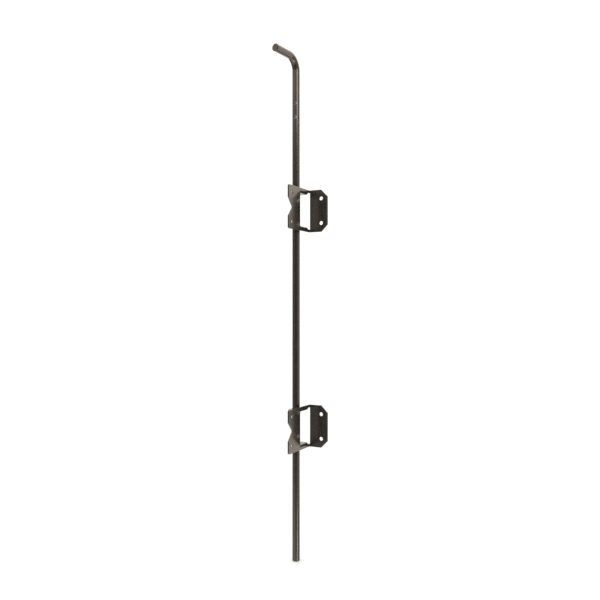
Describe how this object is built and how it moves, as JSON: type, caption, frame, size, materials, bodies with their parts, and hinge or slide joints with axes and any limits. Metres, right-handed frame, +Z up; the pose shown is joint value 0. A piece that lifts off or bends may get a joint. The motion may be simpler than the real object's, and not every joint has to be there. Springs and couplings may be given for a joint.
{
  "type": "cane bolt",
  "caption": "Drop rod for a gate: a round steel bar with a bent handle, sliding in folded sheet brackets that wrap the edge of the gate stile.",
  "frame": {"origin": "centre of the rod's tip face, with the rod dropped", "axes": "+Z up along the rod; +X along the brackets' plates, from the fold to the ear; +Y from the rod towards the gate stile"},
  "size_m": [0.0874, 0.0664, 0.9144],
  "materials": {
    "rod_black": "satin black coat over steel bar",
    "bracket_black": "satin black coat over pressed steel sheet"
  },
  "bodies": {
    "brackets": {"lower_bracket": "bracket_black", "upper_bracket": "bracket_black"},
    "rod": {"cane_rod": "rod_black"}
  },
  "joints": [
    {"name": "rod_lift", "type": "slide", "parent": "brackets", "child": "rod", "axis": [0, 0, 1], "range_m": [0, 0.18]}
  ]
}
